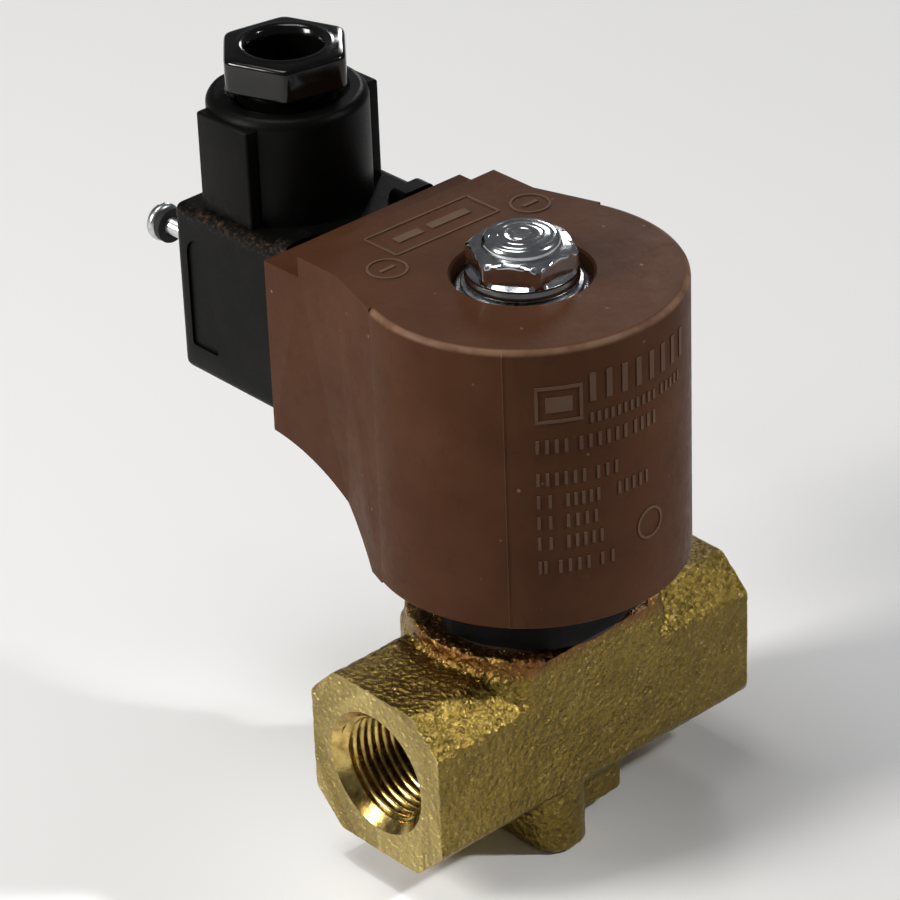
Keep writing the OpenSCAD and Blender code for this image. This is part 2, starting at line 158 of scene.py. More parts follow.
def sizes(context):
    """The sizes in millimetres."""
    group = context.scene.valve_sizes
    return SimpleNamespace(**{key: getattr(group, key) / MM for key in group.__annotations__})


# ---------- Materials ----------

def tint(colour, *factors):
    """A colour with its channels multiplied, by one factor or by one each."""
    return [value * factor for value, factor in zip(colour, factors * (3 // len(factors)))]


class Finish:
    """A material whose node inputs are given as numbers, colours or other nodes' outputs."""

    def __init__(self, name):
        self.material = bpy.data.materials.new(name)
        self.material.use_nodes = True
        self.tree = self.material.node_tree
        self.shader = self.tree.nodes["Principled BSDF"]
        self.object = self.tree.nodes.new("ShaderNodeTexCoord").outputs["Object"]

    def put(self, socket, value):
        if isinstance(value, bpy.types.NodeSocket):
            self.tree.links.new(value, socket)
        elif socket.type == "RGBA":
            socket.default_value = (*value, 1)
        else:
            socket.default_value = value

    def add(self, kind, inputs, **settings):
        node = self.tree.nodes.new("ShaderNode" + kind)
        for key, value in settings.items():
            setattr(node, key, value)
        for key, value in inputs.items():
            self.put(node.inputs[key], value)
        return node

    def noise(self, size, detail=3, roughness=0.5, distortion=0, vector=None):
        """Noise whose blobs are about size millimetres across."""
        return self.add("TexNoise", {
            "Vector": vector or self.object, "Scale": 1 / (size * MM), "Detail": detail,
            "Roughness": roughness, "Distortion": distortion}).outputs["Fac"]

    def cells(self, size, feature="F1", vector=None, smoothness=None):
        inputs = {"Vector": vector or self.object, "Scale": 1 / (size * MM)}
        if smoothness is not None:
            inputs["Smoothness"] = smoothness
        return self.add("TexVoronoi", inputs, feature=feature).outputs["Distance"]

    def warp(self, size, amount):
        """Object coordinates pushed about by noise, by amount millimetres."""
        push = self.add("TexNoise", {
            "Vector": self.object, "Scale": 1 / (size * MM), "Detail": 2.0}).outputs["Color"]
        return self.add("VectorMath", {0: push, 1: (amount * MM,) * 3, 2: self.object},
            operation="MULTIPLY_ADD").outputs["Vector"]

    def range(self, value, low, high, to_low=0.0, to_high=1.0):
        return self.add("MapRange", {
            "Value": value, "From Min": low, "From Max": high,
            "To Min": to_low, "To Max": to_high}, clamp=True).outputs["Result"]

    def math(self, operation, a, b=0.0, clamp=False):
        return self.add("Math", {0: a, 1: b}, operation=operation, use_clamp=clamp).outputs[0]

    def mix(self, amount, a, b):
        return self.add("Mix", {0: amount, 6: a, 7: b}, data_type="RGBA").outputs[2]

    def place(self, axis):
        return self.add("SeparateXYZ", {"Vector": self.object}).outputs[axis]

    def from_axis(self, a, b):
        """How far two lengths reach together, square to each other."""
        squares = self.math("ADD", self.math("POWER", a, 2.0), self.math("POWER", b, 2.0))
        return self.math("SQRT", squares)

    def off(self, value, target):
        """How far a value is from a target."""
        return self.math("ABSOLUTE", self.math("SUBTRACT", value, target))

    def height(self):
        """Height in millimetres in the row's frame."""
        return self.math("DIVIDE", self.place("Z"), MM)

    def attribute(self, name):
        return self.add("Attribute", {}, attribute_name=name).outputs["Fac"]

    def near_line(self, x, z, reach):
        """One on the line along Y through x and z, and nothing beyond reach millimetres."""
        away = self.math("MAXIMUM", self.off(self.place("X"), x), self.off(self.place("Z"), z))
        return self.range(away, 0.2 * MM, reach * MM, 1, 0)

    def painted_rim_highlight(self):
        """A painted highlight's mask: one on the coil's upper rim on its near side, and nothing
        half a millimetre away.
        """
        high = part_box("coil_shell")[1]
        reach = self.from_axis(self.math("SUBTRACT", self.place("X"), AXIS_X), self.place("Y"))
        away = self.math("MAXIMUM", self.off(reach, high.x - AXIS_X - 0.25 * MM),
            self.off(self.place("Z"), high.z - 0.25 * MM))
        rim = self.range(away, 0.2 * MM, 0.65 * MM, 1, 0)
        return self.math("MULTIPLY", rim, self.range(self.place("Y"), 6 * MM, 7 * MM, 1, 0))

    def bump(self, height, depth, normal=None, strength=1.0):
        """Bumps depth millimetres high."""
        inputs = {"Height": height, "Distance": depth * MM, "Strength": strength}
        if normal:
            inputs["Normal"] = normal
        return self.add("Bump", inputs).outputs["Normal"]

    def done(self, **inputs):
        names = {"colour": "Base Color", "metallic": "Metallic", "roughness": "Roughness",
            "normal": "Normal", "specular": "Specular IOR Level"}
        for key, value in inputs.items():
            self.put(self.shader.inputs[names[key]], value)
        return self.material


def forged_brass(c):
    f = Finish("forged_brass")
    edge_wear_and_highlight = f.attribute("wear")
    dents = f.cells(0.95, vector=f.warp(1.2, 1.1), feature="SMOOTH_F1", smoothness=0.25)
    crumple = f.noise(0.6, 4, 0.66, 1.0)
    fine = f.noise(0.24, 3, 0.6)
    patch = f.noise(7, 3, 0.55)
    normal = f.bump(patch, 0.25)
    normal = f.bump(dents, 0.36, normal)
    normal = f.bump(crumple, 0.17, normal)
    normal = f.bump(fine, 0.02, normal)
    colour = f.mix(f.range(patch, 0.35, 0.68), c.brass, tint(c.brass, 0.72))
    colour = f.mix(f.range(crumple, 0.55, 0.72, 0, 0.5), colour, c.brass_wear_and_highlight)
    # Convex edges turn bright brass: partly rubbed bright, partly painted highlight.
    colour = f.mix(f.range(edge_wear_and_highlight, 0.25, 0.9, 0, 0.8), colour, c.brass_wear_and_highlight)
    # Brown towards the collar under the coil: partly tarnished brass, partly painted shade.
    tarnish_and_shade = f.math("MULTIPLY", f.range(f.height(), 12.6, 14.2),
        f.range(f.noise(5, 3, 0.6), 0.36, 0.6, 0.35, 0.95))
    colour = f.mix(tarnish_and_shade, colour, c.brass_brown_and_shade)
    rough = f.range(f.noise(1.6, 3, 0.6), 0.3, 0.7, 0.24, 0.42)
    return f.done(colour=colour, metallic=1.0, roughness=rough, normal=normal)


def thread_brass(c):
    f = Finish("thread_brass")
    normal = f.bump(f.noise(0.7, 3, 0.6), 0.02)
    colour = f.mix(f.range(f.noise(3, 3, 0.6), 0.4, 0.65),
        tint(c.machined, 0.60, 0.55, 0.45),
        tint(c.machined, 0.24, 0.19, 0.13))
    return f.done(colour=colour, metallic=1.0, roughness=f.range(
        f.noise(1.2, 3, 0.6), 0.3, 0.7, 0.16, 0.3), normal=normal)


def coil_resin(c, name, base):
    f = Finish(name)
    cloud = f.noise(9, 3, 0.5)
    speck = f.noise(0.35, 2, 0.5)
    flow = f.noise(2.6, 3, 0.6, 1.2)
    normal = f.bump(f.noise(5, 2, 0.5), 0.10)
    normal = f.bump(speck, 0.012, normal)
    normal = f.bump(f.range(f.cells(2.2), 0, 0.09), 0.02, normal)
    colour = f.mix(f.range(cloud, 0.35, 0.7), base, tint(base, 1.22, 1.3, 1.3))
    colour = f.mix(f.range(flow, 0.56, 0.75, 0, 0.3), colour, tint(base, 0.7))
    rub_and_highlight = f.range(f.noise(4, 3, 0.6), 0.3, 0.6, 0.3, 0.9)
    # Painted highlight along the coil's upper rim on its near side, in the light resin colour.
    colour = f.mix(f.math("MULTIPLY", f.painted_rim_highlight(), rub_and_highlight), colour, c.resin_rub_and_highlight)
    colour = f.mix(f.math("MULTIPLY", f.range(f.cells(3.1), 0.10, 0.05),
        f.range(f.noise(6, 2, 0.5), 0.52, 0.6)), colour, c.resin_rub_and_highlight)
    return f.done(colour=colour, roughness=f.range(flow, 0.3, 0.7, 0.34, 0.47),
        specular=0.04, normal=normal)


def plated(name, base, rough_low, rough_high, grain, relief):
    f = Finish(name)
    normal = f.bump(f.noise(grain, 3, 0.55), relief)
    colour = f.mix(f.range(f.noise(2.5, 4, 0.6), 0.45, 0.7), base, tint(base, 0.66))
    return f.done(colour=colour, metallic=1.0,
        roughness=f.range(f.noise(1.3, 3, 0.6), 0.3, 0.7, rough_low, rough_high), normal=normal)


def moulded(name, base, rough_low, rough_high, texture, specular=0.3, rubbed=None, line=None):
    """Plastic or rubber with a spark-eroded texture, rubbed along a line if one is given."""
    f = Finish(name)
    grain = f.noise(0.3, 3, 0.65)
    normal = f.bump(f.noise(4, 2, 0.5), 0.06)
    normal = f.bump(grain, texture, normal)
    colour = f.mix(f.range(f.noise(5, 4, 0.6), 0.4, 0.7), base, tint(base, 1.6))
    if line:
        # Rubbed specks along the plug's top edge, in the rubbed nylon colour.
        rub_and_highlight = f.math("MULTIPLY", f.near_line(*line, 2.2),
            f.range(f.noise(0.7, 4, 0.75), 0.5, 0.72, 0, 0.7))
        colour = f.mix(rub_and_highlight, colour, rubbed)
    return f.done(colour=colour, roughness=f.range(grain, 0.3, 0.7, rough_low, rough_high),
        normal=normal, specular=specular)


def turned_metal(name, base, rough):
    f = Finish(name)
    rings = f.math("SINE", f.math("MULTIPLY", f.height(), TURN / 0.35))
    normal = f.bump(rings, 0.002)
    normal = f.bump(f.noise(0.6, 3, 0.6), 0.01, normal)
    colour = f.mix(f.range(f.noise(3, 4, 0.6), 0.4, 0.7), base, tint(base, 0.7))
    return f.done(colour=colour, metallic=1.0, roughness=f.range(
        f.noise(1.5, 3, 0.6), 0.3, 0.7, rough * 0.8, rough * 1.3), normal=normal)


def make_finishes(context):
    """One material for each finish on the valve."""
    group = context.scene.valve_colours
    c = SimpleNamespace(**{key: list(getattr(group, key)) for key in group.__annotations__})
    return {
        "forged": forged_brass(c),
        "thread": thread_brass(c),
        "resin": coil_resin(c, "coil_resin", c.resin),
        "marks": coil_resin(c, "coil_marks", tint(c.resin, 1.6, 2.3, 3.2)),
        "nickel_nut": plated("bright_plate", c.nickel, 0.1, 0.2, 1.6, 0.004),
        "zinc_steel": plated("zinc_plate", c.zinc, 0.22, 0.38, 0.5, 0.012),
        # Near black, matte and with little reflection, as dark as the gap under the coil.
        "dark_steel": moulded("dark_steel", (0.006, 0.006, 0.006), 0.45, 0.6, 0.006, 0.06),
        "stainless": turned_metal("stainless", (0.60, 0.60, 0.59), 0.22),
        "ferritic_steel": turned_metal("ferritic_steel", (0.52, 0.52, 0.52), 0.27),
        "copper": turned_metal("copper", (0.72, 0.32, 0.16), 0.26),
        "tinned_brass": turned_metal("tinned_brass", (0.66, 0.60, 0.42), 0.24),
        "plug_nylon": moulded("plug_nylon", c.nylon, 0.36, 0.5, 0.014, 0.08, c.nylon_worn,
            (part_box("plug_housing")[0].x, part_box("plug_gasket")[1].z)),
        "gland_nylon": moulded("gland_nylon", tint(c.nylon, 0.8), 0.1, 0.18, 0.003, 0.4),
        "grey_nylon": moulded("grey_nylon", (0.05, 0.05, 0.052), 0.38, 0.5, 0.012),
        "natural_nylon": moulded("natural_nylon", (0.55, 0.48, 0.33), 0.35, 0.5, 0.01),
        "black_rubber": moulded("black_rubber", (0.012, 0.012, 0.012), 0.55, 0.7, 0.02),
        "ptfe": moulded("filled_ptfe", (0.020, 0.014, 0.010), 0.5, 0.6, 0.006),
    }


def finish(name):
    """A finish by its key, from the set that the first operator made."""
    return bpy.data.materials[bpy.context.scene["valve_finishes"][name]]


# ---------- Shaping ----------

def of_kind(geometry, kind):
    return [item for item in geometry if isinstance(item, kind)]


def joined(*parts):
    """One bmesh from several."""
    whole = bmesh.new()
    for part in parts:
        mesh = bpy.data.meshes.new("part")
        part.to_mesh(mesh)
        part.free()
        whole.from_mesh(mesh)
        bpy.data.meshes.remove(mesh)
    return whole


def new_object(name, bm, material=None):
    """An object in the scene from a bmesh."""
    mesh = bpy.data.meshes.new(name)
    bm.to_mesh(mesh)
    bm.free()
    mesh.materials.append(material)
    obj = bpy.data.objects.new(name, mesh)
    bpy.context.scene.collection.objects.link(obj)
    return obj


def scratch(bm):
    """A passing object, which goes when its mesh does."""
    return new_object("scratch", bm)


def evaluated(bm, kind, **settings):
    """A bmesh after one modifier."""
    obj = scratch(bm)
    modifier = obj.modifiers.new("work", kind)
    for key, value in settings.items():
        setattr(modifier, key, value)
    result = bmesh.new()
    result.from_object(obj, bpy.context.evaluated_depsgraph_get())
    bpy.data.meshes.remove(obj.data)
    return result


def combined(bm, other, operation="DIFFERENCE"):
    """A bmesh joined with, or cut by, another."""
    tool = scratch(other)
    result = evaluated(bm, "BOOLEAN", object=tool, operation=operation, solver="EXACT")
    bpy.data.meshes.remove(tool.data)
    return result


def spun(bm, angle, steps, rise=0, merge=True):
    """Spins a bmesh about the Z axis, rising by a little with each step."""
    bmesh.ops.spin(bm, geom=bm.verts[:] + bm.edges[:], cent=(0, 0, 0), axis=(0, 0, 1),
        dvec=(0, 0, rise), angle=angle, steps=steps, use_merge=merge, use_normal_flip=False,
        use_duplicate=False)


def outward(bm):
    bmesh.ops.recalc_face_normals(bm, faces=bm.faces)


def lathe(points, steps=128, closed=True):
    """Spins (radius, height, fillet) points about the Z axis."""
    bm = bmesh.new()
    verts = [bm.verts.new((point[0], 0, point[1])) for point in points]
    for a, b in zip(verts, verts[1:]):
        bm.edges.new((a, b))
    if closed:
        bm.edges.new((verts[-1], verts[0]))
    fillets = {}
    for vert, point in zip(verts, points):
        if len(point) > 2 and point[2] > 0:
            fillets.setdefault(point[2], []).append(vert)
    for offset, corners in fillets.items():
        bmesh.ops.bevel(bm, geom=corners, offset=offset, offset_type="OFFSET", segments=4,
            profile=0.5, affect="VERTICES", clamp_overlap=True, material=-1)
    spun(bm, TURN, steps)
    bmesh.ops.remove_doubles(bm, verts=bm.verts, dist=1e-4)
    outward(bm)
    return bm


def cylinder(radius, low, high, steps=128):
    return lathe([(0, low), (radius, low), (radius, high), (0, high)], steps, False)


def block(low, high):
    """A box between two corners."""
    bm = bmesh.new()
    bmesh.ops.create_cube(bm, size=1)
    low, high = Vector(low), Vector(high)
    bmesh.ops.scale(bm, vec=high - low, verts=bm.verts)
    return moved(bm, (low + high) / 2)


def bevel(bm, edges, offset, segments=3):
    return bmesh.ops.bevel(bm, geom=list(edges), offset=offset, offset_type="OFFSET",
        segments=segments, profile=0.5, affect="EDGES", clamp_overlap=True, material=-1)


def moved(bm, shift):
    bmesh.ops.translate(bm, vec=shift, verts=bm.verts)
    return bm


def turned(bm, angle, axis):
    bmesh.ops.rotate(bm, cent=(0, 0, 0), matrix=Matrix.Rotation(angle, 3, axis), verts=bm.verts)
    return bm


def set_reach(vert, reach):
    """Puts a vertex at a distance from the Z axis."""
    factor = reach / vert.co.xy.length
    vert.co.x *= factor
    vert.co.y *= factor


def sliced(bm, point, normal, **settings):
    """Cuts a bmesh by a plane."""
    bmesh.ops.bisect_plane(bm, geom=bm.verts[:] + bm.edges[:] + bm.faces[:], plane_co=point,
        plane_no=normal, **settings)


def capped(bm):
    """Fills the open rims of a bmesh."""
    rims = [edge for edge in bm.edges if edge.is_boundary]
    bmesh.ops.holes_fill(bm, edges=rims, sides=0)


def node_middle(node, axis):
    """The middle of a CAD node's box along an axis, as 0, 1 or 2."""
    return sum(corner[axis] for corner in box_mm(node)) / 2


def along(bm, axis):
    """The edges that run along an axis, as 0, 1 or 2."""
    found = []
    for edge in bm.edges:
        line = edge.verts[1].co - edge.verts[0].co
        if abs(line[axis]) > 0.999 * line.length:
            found.append(edge)
    return found


def lay_along_x(bm, side):
    """Turns what stands on Z to lie along X: side 1 leads to +X and side -1 to -X."""
    return turned(bm, side * TURN / 4, "Y")


def lay_along_y(bm, height):
    """Turns what stands on Z to lie along +Y at a height."""
    return moved(turned(bm, -TURN / 4, "X"), (0, 0, height))


def hexagonal(bm, across, low, high, turn=0, sharpness=90, inside=0.1):
    """Draws the part of a round bar between two heights in to a hexagon with softened corners.

    Without a size across its flats, each ring becomes the hexagon that has its corners there.
    """
    for vert in bm.verts:
        reach = vert.co.xy.length
        if not low <= vert.co.z <= high or reach < inside:
            continue
        angle = math.atan2(vert.co.y, vert.co.x) - math.radians(turn)
        total = reach ** -sharpness
        flats = across or reach * math.sqrt(3)
        for k in range(6):
            lean = math.cos(angle - TURN * (k + 0.5) / 6)
            if lean > 0.1:
                total += (lean / (flats / 2)) ** sharpness
        set_reach(vert, total ** (-1 / sharpness))
    return bm


def mark_wear_and_highlight(bm, gain=1.0):
    """Stores how far each vertex stands proud of its neighbours, for rubbed edges and the highlight
    painted on them.
    """
    layer = bm.verts.layers.float.get("wear") or bm.verts.layers.float.new("wear")
    bm.normal_update()
    for vert in bm.verts:
        bend = 0
        for edge in vert.link_edges:
            line = edge.other_vert(vert).co - vert.co
            if line.length > 1e-6:
                bend -= line.normalized().dot(vert.normal)
        vert[layer] = min(1, max(0, gain * bend / max(1, len(vert.link_edges))))


def piece(bm, name, look, body, nodes=(), crease=32, wear=None):
    """Turns a bmesh in millimetres about the coil's axis into a piece that rides on a body."""
    if wear:
        mark_wear_and_highlight(bm, wear)
    bmesh.ops.scale(bm, vec=(MM, MM, MM), verts=bm.verts)
    moved(bm, (AXIS_X, 0, 0))
    bm.normal_update()
    for face in bm.faces:
        face.smooth = abs(face.normal.z) < LEVEL
    for edge in bm.edges:
        edge.smooth = len(edge.link_faces) == 2 and edge.calc_face_angle(0) < math.radians(crease)
    obj = new_object(name, bm, finish(look))
    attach(obj, body)
    if nodes:
        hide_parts(*nodes)
    return obj


# ---------- Brass body ----------

VOXEL = 0.42
RING_DENTS = ((-21.3, -0.2, 2), (0, 8.9, 2), (22.9, 0.7, 2))
FLOW_BORES = ((-1, 3, 9.6, 3), (1, 3.4, 0, -4.8))


def forging_blank(s, low, high):
    """The forging before its ports are cut: bar, collar, foot rib and pad, run together."""
    bar = block((low.x - 2, low.y, low.y), (high.x + 2, high.y, high.y))
    bevel(bar, along(bar, 0), s.chamfer, 1)
    collar = cylinder(s.collar, 0, high.z, 160)
    flare = lathe([(0, 10), (s.collar + 0.7, 10), (s.collar + 0.6, 12.8), (s.collar, 13.5),
        (0, 13.5)], 160, False)
    collar = joined(collar, flare)
    for y in (low.y, high.y):
        sliced(collar, (0, y, 0), (0, math.copysign(1, y), 0), clear_outer=True)
    capped(collar)
    rib_x = -s.foot_offset
    half = s.foot_width / 2
    rib = block((rib_x - half, low.y, low.z), (rib_x + half, high.y, low.y + 5))
    bevel(rib, along(rib, 2), s.foot_width * 0.46, 8)
    pad_y = high.y - s.chamfer + 1.3
    half = s.pad_length / 2
    pad = block((-half, -pad_y, low.y - s.pad_drop), (half, pad_y, low.y + 5))
    bevel(pad, along(pad, 2), 1.2, 3)
    return joined(bar, collar, rib, pad)


def dent(point, normal, s):
    """How far a point of the forged skin moves out, in millimetres."""
    broad = noise.noise(point * 0.13) * 0.12
    rough = noise.noise(point * 0.8) + 0.6 * noise.noise(point * 1.7 + Vector((7, 3, 1)))
    creases = abs(noise.noise(point * 0.55 + Vector((2, 9, 4))))
    move = broad + s.grain * (rough - 0.9 * max(0, 0.12 - creases) / 0.12)
    if normal.y < -0.7:
        for x, z, radius in RING_DENTS:
            edge = abs(math.hypot(point.x - x, point.z - z) - radius)
            move -= 0.13 * max(0, 1 - edge / 0.55)
    return move


def bores(s, low, high):
    """The holes that are cut in the forging."""
    chamber = lathe([(0, -8.2), (4.5, -8.2), (4.5, 1), (6.3, 1), (6.3, -0.4), (10, -0.4), (10, 9.5),
        (11.6, 9.5), (11.6, high.z + 2), (0, high.z + 2)], 128, False)
    cuts = [chamber, cylinder(s.collar - s.collar_rim, high.z - 1.2, high.z + 2)]
    for side in (-1, 1):
        port = cylinder(s.port_mouth, high.x - s.port_depth, high.x + 3)
        cuts.append(lay_along_x(port, side))
    end = high.x - s.port_depth + 0.5
    for side, radius, start, height in FLOW_BORES:
        bore = lay_along_x(cylinder(radius, start, end, 48), side)
        cuts.append(moved(bore, (0, 0, height)))
    return cuts


class VALVE_OT_body(bpy.types.Operator):
    """Forge the brass body and cut its bores"""
    bl_idname = "valve.body"
    bl_label = "Brass body"

    def execute(self, context):
        s = sizes(context)
        low, high = box_mm("valve_body")
        bm = evaluated(forging_blank(s, low, high), "REMESH", mode="VOXEL", voxel_size=VOXEL)
        for _ in range(2):
            bmesh.ops.smooth_vert(bm, verts=bm.verts, factor=0.5, use_axis_x=True,
                use_axis_y=True, use_axis_z=True)
        bm.normal_update()
        moves = [vert.normal * dent(vert.co, vert.normal, s) for vert in bm.verts]
        for vert, move in zip(bm.verts, moves):
            vert.co += move
        for x in (low.x, high.x):
            sliced(bm, (x, 0, 0), (math.copysign(1, x), 0, 0), clear_outer=True)
        capped(bm)
        outward(bm)
        for cut in bores(s, low, high):
            bm = combined(bm, cut)
        piece(bm, "brass_body", "forged", "valve",
            ["valve_body"], crease=40, wear=2.2)
        return {"FINISHED"}


def port_thread(s, side, reach):
    """A closed sleeve with the countersink and the pipe thread of one port."""
    bm = bmesh.new()
    steps = 96
    rows = 8
    verts = []
    for i in range(rows + 1):
        drop = (s.port_root - s.port_crest) * (0.5 - 0.5 * math.cos(TURN * i / rows)) ** 0.8
        verts.append(bm.verts.new((s.port_root - drop, 0, s.port_pitch * (i / rows - 2))))
    for a, b in zip(verts, verts[1:]):
        bm.edges.new((a, b))
    turns = math.ceil(s.port_depth / s.port_pitch) + 3
    spun(bm, TURN * turns, steps * turns, s.port_pitch / steps, False)
    bmesh.ops.remove_doubles(bm, verts=bm.verts, dist=1e-3)
    end = s.port_depth - 0.1
    for z, way in ((0, -1), (end, 1)):
        sliced(bm, (0, 0, z), (0, 0, way), clear_outer=True)
    for vert in bm.verts:
        radius = vert.co.xy.length
        new = max(radius, s.port_mouth - vert.co.z)
        runout = min(1, max(0, (vert.co.z - end + 2.2) / 0.9))
        set_reach(vert, max(new, radius + (s.port_root - radius) * runout))
    rims = [e for e in bm.edges if e.is_boundary]
    inner = [e for e in rims if e.verts[0].co.z > end / 2]
    outer = [e for e in rims if e.verts[0].co.z < end / 2]
    grown = bmesh.ops.extrude_edge_only(bm, edges=inner)["geom"]
    for vert in of_kind(grown, bmesh.types.BMVert):
        set_reach(vert, s.port_mouth)
    far = of_kind(grown, bmesh.types.BMEdge)
    bmesh.ops.bridge_loops(bm, edges=outer + far)
    outward(bm)
    return lay_along_x(moved(turned(bm, math.pi, "X"), (0, 0, reach)), side)


class VALVE_OT_ports(bpy.types.Operator):
    """Cut the pipe threads of the two ports"""
    bl_idname = "valve.ports"
    bl_label = "Port threads"

    def execute(self, context):
        s = sizes(context)
        low, high = box_mm("valve_body")
        for side, name in ((-1, "inlet_thread"), (1, "outlet_thread")):
            bm = port_thread(s, side, high.x)
            piece(bm, name, "thread", "valve", crease=50)
        return {"FINISHED"}


class VALVE_OT_tube_nut(bpy.types.Operator):
    """Model the near-black nut that holds the armature tube"""
    bl_idname = "valve.tube_nut"
    bl_label = "Tube nut"

    def execute(self, context):
        low, high = box_mm("tube_nut")
        tube = box_mm("armature_tube")[1].x
        across = high.y - low.y
        base = box_mm("tube_gasket")[1].z
        neck = across / 2 - 1.5
        corner = across / math.sqrt(3)
        top = high.z - 2.3
        bm = lathe([(tube, 13.2), (9.9, 13.2), (9.9, low.z), (11.55, low.z), (11.55, base),
            (corner - 1.6, base), (corner, base + 0.9), (corner, base + 1.4), (corner, top - 1.4),
            (corner, top - 0.9), (corner - 1.6, top), (neck, top, 0.3), (neck, high.z, 0.5),
            (tube, high.z)], 180)
        hexagonal(bm, across, base - 0.01, top - 0.05)
        piece(bm, "tube_nut_body", "dark_steel", "valve", ["tube_nut"])
        return {"FINISHED"}


# ---------- Coil ----------

def shoulder_points(s, reach):
    """The boss's plan outline: where its shoulders meet the coil, its sides and its face."""
    corner = Vector((s.boss_half, s.shoulder))
    angle = math.atan2(corner.y, corner.x) - math.acos(s.coil_radius / corner.length)
    meet = Vector((math.cos(angle), math.sin(angle))) * s.coil_radius
    right = [meet, corner, Vector((s.boss_half, reach))]
    left = [Vector((-p.x, p.y)) for p in reversed(right)]
    inner = [Vector((-meet.x * 0.8, meet.y)), Vector((meet.x * 0.8, meet.y))]
    return inner + right + left


def boss(s, low, high):
    """The boss that takes the plug, with its ledge, arch and rounded edges."""
    reach = high.y
    outline = shoulder_points(s, reach)
    bm = bmesh.new()
    base = bm.faces.new([bm.verts.new((p.x, p.y, low.z)) for p in outline])
    top = bmesh.ops.extrude_face_region(bm, geom=[base])["geom"]
    bmesh.ops.translate(bm, vec=(0, 0, high.z - low.z),
        verts=of_kind(top, bmesh.types.BMVert))
    outward(bm)
    ledge = block((-2 * s.boss_half, reach - s.ledge_length, high.z - s.ledge_drop),
        (2 * s.boss_half, reach + 5, high.z + 5))
    bm = combined(bm, ledge)
    arch = lay_along_x(cylinder(s.arch_radius, -2 * s.boss_half, 2 * s.boss_half, 160), 1)
    bm = combined(bm, moved(arch, (0, reach + 1.8, low.z + 12.8 - s.arch_radius)))
    bmesh.ops.dissolve_limit(bm, angle_limit=math.radians(0.5), use_dissolve_boundaries=False,
        verts=bm.verts, edges=bm.edges, delimit={"NORMAL"})
    outward(bm)
    outside = []
    for edge in bm.edges:
        middle = (edge.verts[0].co + edge.verts[1].co) / 2
        if middle.xy.length < s.coil_radius - 0.4 or len(edge.link_faces) < 2:
            continue
        if edge.calc_face_angle(0) > math.radians(12) and edge.is_convex:
            outside.append(edge)
    bevel(bm, outside, 0.45, 3)
    return bm


def wrapped_bar(s, start, end, low, high):
    """A raised bar on the coil's wall between two angles and two heights."""
    radius = s.coil_radius
    bm = bmesh.new()
    count = max(2, math.ceil((end - start) / 2.5))
    bmesh.ops.create_grid(bm, x_segments=count, y_segments=1, size=0.5)
    lifted = bmesh.ops.extrude_face_region(bm, geom=bm.faces[:])["geom"]
    bmesh.ops.translate(bm, vec=(0, 0, 1), verts=of_kind(lifted, bmesh.types.BMVert))
    for vert in bm.verts:
        angle = math.radians(start + (vert.co.x + 0.5) * (end - start))
        reach = radius - 0.1 + vert.co.z * (0.1 + s.mark)
        height = low + (vert.co.y + 0.5) * (high - low)
        vert.co = (reach * math.cos(angle), reach * math.sin(angle), height)
    outward(bm)
    return bm


def ticks(s, start, end, low, high, width, gap):
    """A row of raised upright ticks on the coil's wall."""
    count = max(1, round((end - start + gap) / (width + gap)))
    step = (end - start - width) / max(1, count - 1)
    return [wrapped_bar(s, start + i * step, start + i * step + width, low, high)
        for i in range(count)]


def flat_bar(s, start, end, width, level):
    """A raised bar on the coil's top from one point to another."""
    start, end = Vector(start), Vector(end)
    line = end - start
    bm = block((-line.length / 2, -width / 2, -0.1), (line.length / 2, width / 2, s.mark))
    middle = (start + end) / 2
    return moved(turned(bm, math.atan2(line.y, line.x), "Z"), (middle.x, middle.y, level))


def ring_mark(s, radius, width):
    inner = radius - width
    return lathe([(inner, -0.1), (radius, -0.1), (radius, s.mark), (inner, s.mark)], 40)


